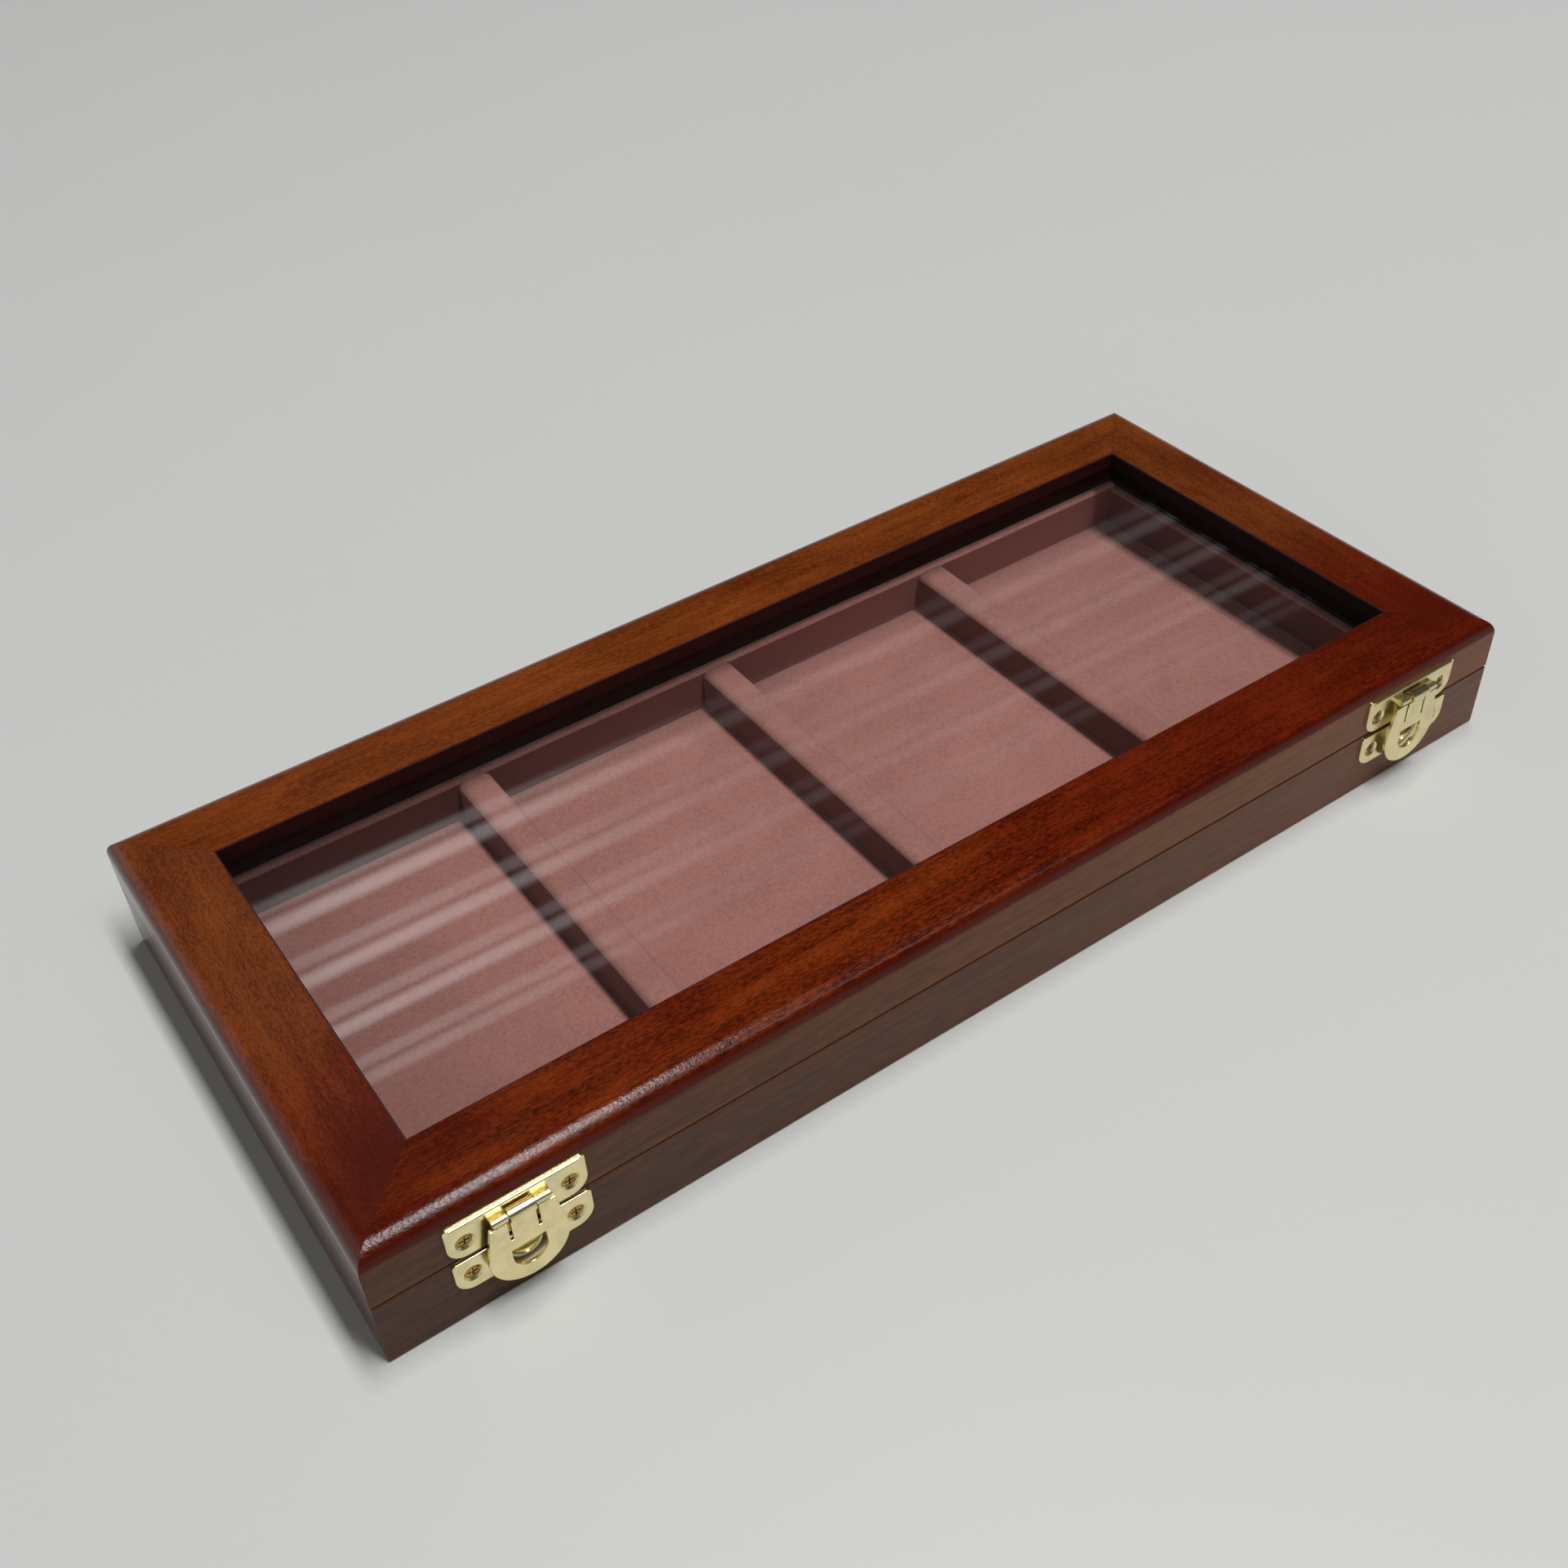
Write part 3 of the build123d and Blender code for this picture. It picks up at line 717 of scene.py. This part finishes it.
class DISPLAY_CASE_OT_stage(bpy.types.Operator):
    """Make the table, the lamp, the room and the camera"""

    bl_idname = "display_case.stage"
    bl_label = "Stage"

    def execute(self, context):
        looks = context.scene.display_case.stage
        mesh = bpy.data.meshes.new("table_top")
        reach = 2.5
        corners = [(-reach, -reach, 0), (reach, -reach, 0), (reach, reach, 0), (-reach, reach, 0)]
        mesh.from_pydata(corners, [], [(0, 1, 2, 3)])
        table = bpy.data.objects.new("table_top", mesh)
        table.data.materials.append(table_top("table_top", looks))
        context.scene.collection.objects.link(table)

        self.hang_lamp(context.scene, looks)
        self.light_room(context.scene, looks)
        self.aim_camera(context.scene)
        context.scene.view_settings.view_transform = "Standard"
        return {"FINISHED"}

    def hang_lamp(self, scene, looks):
        """A long ceiling lamp. It lights all but the pane, which would mirror it as a hard white glare."""
        lamp = bpy.data.lights.new("ceiling_lamp", "AREA")
        lamp.shape = "RECTANGLE"
        lamp.size = looks.lamp_width
        lamp.size_y = looks.lamp_length
        lamp.energy = looks.lamp_power
        hung = bpy.data.objects.new("ceiling_lamp", lamp)
        hung.location = (looks.lamp_x, looks.lamp_y, looks.lamp_height)
        scene.collection.objects.link(hung)
        unlit = bpy.data.collections.new("pane_without_glare")
        unlit.objects.link(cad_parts["glass_pane"])
        unlit.collection_objects[0].light_linking.link_state = "EXCLUDE"
        hung.light_linking.receiver_collection = unlit

    def light_room(self, scene, looks):
        """A dim room, whose light is worked out from the direction that it comes from.

        Soft stripes of daylight stand high up behind the case. A stripe is where the direction's climb, its
        height over its reach to the back, is near the stripe's own. Each stripe has a fainter one below it,
        and they all rise a little to the right. A thin lamp lies up in front, to the right, where the height
        over the reach to the front is near the lamp's own. One faint wash comes from the front left and
        another from low down on the left. Low down there are pale walls, which only the camera sees:
        straight, in a mirror or through the glass.
        """
        world = bpy.data.worlds.new("room")
        scene.world = world
        sheet = Sheet(world)
        direction = sheet.node("ShaderNodeTexCoord", {}, {}, "Generated")
        x, y, z = (direction.part(axis) for axis in range(3))

        ahead = y.at_least(0.05)
        sidewards = x / ahead
        climb = z / ahead - sidewards * 0.012
        top_stripe = 1.1425
        stripe_step = 0.0685
        echo_step = 0.022
        stripes = 0.0
        for number in range(4):
            centre = top_stripe - stripe_step * number
            stripes = abs(climb - centre).rise(0.013, 0.002) * (0.55 if number == 0 else 1.0) + stripes
            stripes = abs(climb - centre + echo_step).rise(0.011, 0.003) * 0.5 + stripes
        behind = sidewards.rise(0.60, 0.20) * looks.daylight + 0.22
        window = y.rise(0.1, 0.3) * sidewards.rise(1.45, 1.25) * sidewards.rise(0.08, 0.22)

        front_wash = x.rise(0.1, -0.3) * y.rise(0.3, -0.1) * looks.wash
        left_wash = x.rise(-0.05, -0.45) * z.rise(0.8, 0.4) * looks.left_wash

        tube_climb = 1.38
        steep = z / (y * -1).at_least(0.05)
        tube = abs(steep - tube_climb).rise(0.20, 0.08) * x.rise(0.05, 0.20) * x.rise(0.62, 0.30) * looks.tube

        rays = (f"Is {kind} Ray" for kind in ("Camera", "Glossy", "Transmission"))
        camera, glossy, through = (sheet.node("ShaderNodeLightPath", {}, {}, ray) for ray in rays)
        seen = camera.at_least(glossy).at_least(through) * z.rise(0.30, 0.12)
        level = stripes * behind * window + front_wash + left_wash + tube + looks.room
        level = level * (1 - seen) + seen * looks.walls
        white = (1.0, 1.0, 1.0, 1.0)
        glow = sheet.node("ShaderNodeBackground", {}, {"Color": white, "Strength": level})
        sheet.finish(glow, "ShaderNodeOutputWorld")

    def aim_camera(self, scene):
        """The photograph's view. Its place is measured from the front left foot of the case."""
        camera = bpy.data.objects.new("camera", bpy.data.cameras.new("camera"))
        camera.data.lens = 39.76
        camera.data.sensor_width = 36.0
        right = Vector((0.81894, -0.57215, -0.04452))
        up = Vector((0.40648, 0.52356, 0.74877))
        backwards = right.cross(up)
        turned = Matrix((right, up, backwards)).transposed().to_4x4()
        place = Vector((case_left - 0.0315, case_front - 0.22297, 0.34279))
        camera.matrix_world = Matrix.Translation(place) @ turned
        scene.collection.objects.link(camera)
        scene.camera = camera


class DISPLAY_CASE_OT_wood(bpy.types.Operator):
    """Stain and lacquer the rails, the glazing strips and the bottom panel"""

    bl_idname = "display_case.wood"
    bl_label = "Wood"

    def execute(self, context):
        looks = context.scene.display_case.wood
        side_stains = {"lid": looks.lid_side_stain, "base": looks.base_side_stain}
        left_glosses = {"lid": looks.left_gloss, "base": looks.base_left_gloss}
        for number, side in enumerate(rail_sides):
            for half, apart in (("lid", 0.0), ("base", 0.31)):
                shift = (0.37 * number + apart, 0.13 * number, 0.05 * number + apart)
                gloss = left_glosses[half] if side == "left" else looks.gloss
                material = stained_wood(f"{half}_{side}_wood", side, shift, side_stains[half], looks, gloss)
                dress(f"{half}_{side}_rail", material)
            shift = (1.7 + number, 0.5, 0.2)
            strip = stained_wood(f"strip_{side}_wood", side, shift, looks.lid_side_stain, looks, looks.gloss)
            dress(f"glazing_strip_{side}", strip)
        dress("bottom_panel", plywood("birch_plywood"))
        return {"FINISHED"}


class DISPLAY_CASE_OT_floor(bpy.types.Operator):
    """Lay the velour pad on the floor of the compartments"""

    bl_idname = "display_case.floor"
    bl_label = "Floor pad"

    def execute(self, context):
        looks = context.scene.display_case.velour
        pad = soft_bar(
            "velour_floor",
            "floor_pad",
            top_radius=1.0 * millimetre,
            spacing=0.8 * millimetre,
            wander=0.0,
            sink=0.05 * millimetre,
        )
        # Painted shade: the floor's left end is painted darker
        shaded_left_velour = velour("floor_velour", looks, (0, 0, 0), painted_light_factors=(0.74, 1.05), painted_light_span=(-0.155, -0.085))
        pad.data.materials.append(shaded_left_velour)
        return {"FINISHED"}


class DISPLAY_CASE_OT_linings(bpy.types.Operator):
    """Stand the velour linings inside the four walls"""

    bl_idname = "display_case.linings"
    bl_label = "Linings"

    def execute(self, context):
        looks = context.scene.display_case.velour
        for number, side in enumerate(rail_sides):
            node = f"lining_{side}"
            strip = soft_bar(
                f"velour_{node}",
                node,
                top_radius=1.3 * millimetre,
                spacing=0.25 * millimetre,
                wander=0.0,
                sink=0.15 * millimetre,
            )
            # Painted shade and sheen: the back lining is painted darker at the left and twice as bright at
            # the right
            painted_light_factors = (0.75, 2.0) if side == "back" else (1.0, 1.0)
            strip.data.materials.append(velour(f"{node}_velour", looks, (0.2 * number, 0.1, 0.3), painted_light_factors))
        return {"FINISHED"}


class DISPLAY_CASE_OT_dividers(bpy.types.Operator):
    """Set the padded velour dividers between the compartments"""

    bl_idname = "display_case.dividers"
    bl_label = "Dividers"

    def execute(self, context):
        looks = context.scene.display_case.velour
        for number, name in enumerate(("left", "middle", "right")):
            node = f"divider_{name}"
            bar = soft_bar(
                f"velour_{node}",
                node,
                top_radius=2.4 * millimetre,
                spacing=0.4 * millimetre,
                wander=0.08 * millimetre,
                sink=0.25 * millimetre,
            )
            bar.data.materials.append(velour(f"{node}_velour", looks, (0.4, 0.2 * number, 0.1)))
        return {"FINISHED"}


class DISPLAY_CASE_OT_glass(bpy.types.Operator):
    """Glaze the lid"""

    bl_idname = "display_case.glass"
    bl_label = "Glass"

    def execute(self, context):
        dress("glass_pane", clear_glass("clear_glass"))
        return {"FINISHED"}


class DISPLAY_CASE_OT_catches(bpy.types.Operator):
    """Plate the two catches and their screws"""

    bl_idname = "display_case.catches"
    bl_label = "Catches"

    def execute(self, context):
        looks = context.scene.display_case.brass
        plated = plated_brass("catch_brass", looks.catch, looks.roughness)
        for side in ("left", "right"):
            for part in ("upper_catch_plate", "lower_catch_plate", "hasp_pin"):
                dress(f"{side}_{part}", plated)
            # Painted reflection: the barrel's top is painted brown, for the dark room it mirrors
            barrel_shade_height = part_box(f"{side}_hasp")[1].z - 0.8 * millimetre
            hasp = plated_brass(f"{side}_hasp_brass", looks.catch, looks.roughness, barrel_shade_height)
            dress(f"{side}_hasp", hasp)
            for part in ("upper_catch_screws", "lower_catch_screws"):
                node = f"{side}_{part}"
                screw = screw_brass(f"{node}_brass", looks.screw, looks.roughness, node, (1, -1))
                dress(node, screw)
        return {"FINISHED"}


class DISPLAY_CASE_OT_hinges(bpy.types.Operator):
    """Plate the two hinges and their screws"""

    bl_idname = "display_case.hinges"
    bl_label = "Hinges"

    def execute(self, context):
        looks = context.scene.display_case.brass
        plated = plated_brass("hinge_brass", looks.hinge, looks.roughness + 0.08)
        for side in ("left", "right"):
            for part in ("hinge_base_leaf", "hinge_lid_leaf", "hinge_pin"):
                dress(f"{side}_{part}", plated)
            for part, way in (("hinge_base_screws", 1), ("hinge_lid_screws", -1)):
                node = f"{side}_{part}"
                screw = screw_brass(f"{node}_brass", looks.screw, looks.roughness, node, (2, way))
                dress(node, screw)
        return {"FINISHED"}


steps = ("stage", "wood", "floor", "linings", "dividers", "glass", "catches", "hinges")


class DISPLAY_CASE_PT_panel(bpy.types.Panel):
    """Lists the steps that dress the case, and its colours and sizes"""

    bl_idname = "DISPLAY_CASE_PT_panel"
    bl_label = "Medal display case"
    bl_space_type = "VIEW_3D"
    bl_region_type = "UI"
    bl_category = "Display case"

    def draw(self, context):
        for step in steps:
            self.layout.operator(f"display_case.{step}")
        looks = context.scene.display_case
        for group in (looks.wood, looks.velour, looks.brass, looks.stage):
            box = self.layout.box()
            for name in group.__annotations__:
                box.prop(group, name)


classes = (
    WoodLooks,
    VelourLooks,
    BrassLooks,
    StageLooks,
    CaseLooks,
    DISPLAY_CASE_OT_stage,
    DISPLAY_CASE_OT_wood,
    DISPLAY_CASE_OT_floor,
    DISPLAY_CASE_OT_linings,
    DISPLAY_CASE_OT_dividers,
    DISPLAY_CASE_OT_glass,
    DISPLAY_CASE_OT_catches,
    DISPLAY_CASE_OT_hinges,
    DISPLAY_CASE_PT_panel,
)


def register():
    for kind in classes:
        bpy.utils.register_class(kind)
    bpy.types.Scene.display_case = PointerProperty(type=CaseLooks)


def unregister():
    del bpy.types.Scene.display_case
    for kind in reversed(classes):
        bpy.utils.unregister_class(kind)


def main():
    """Dress the case step by step."""
    register()
    for step in steps:
        getattr(bpy.ops.display_case, step)()


if __name__ == "__main__":
    main()
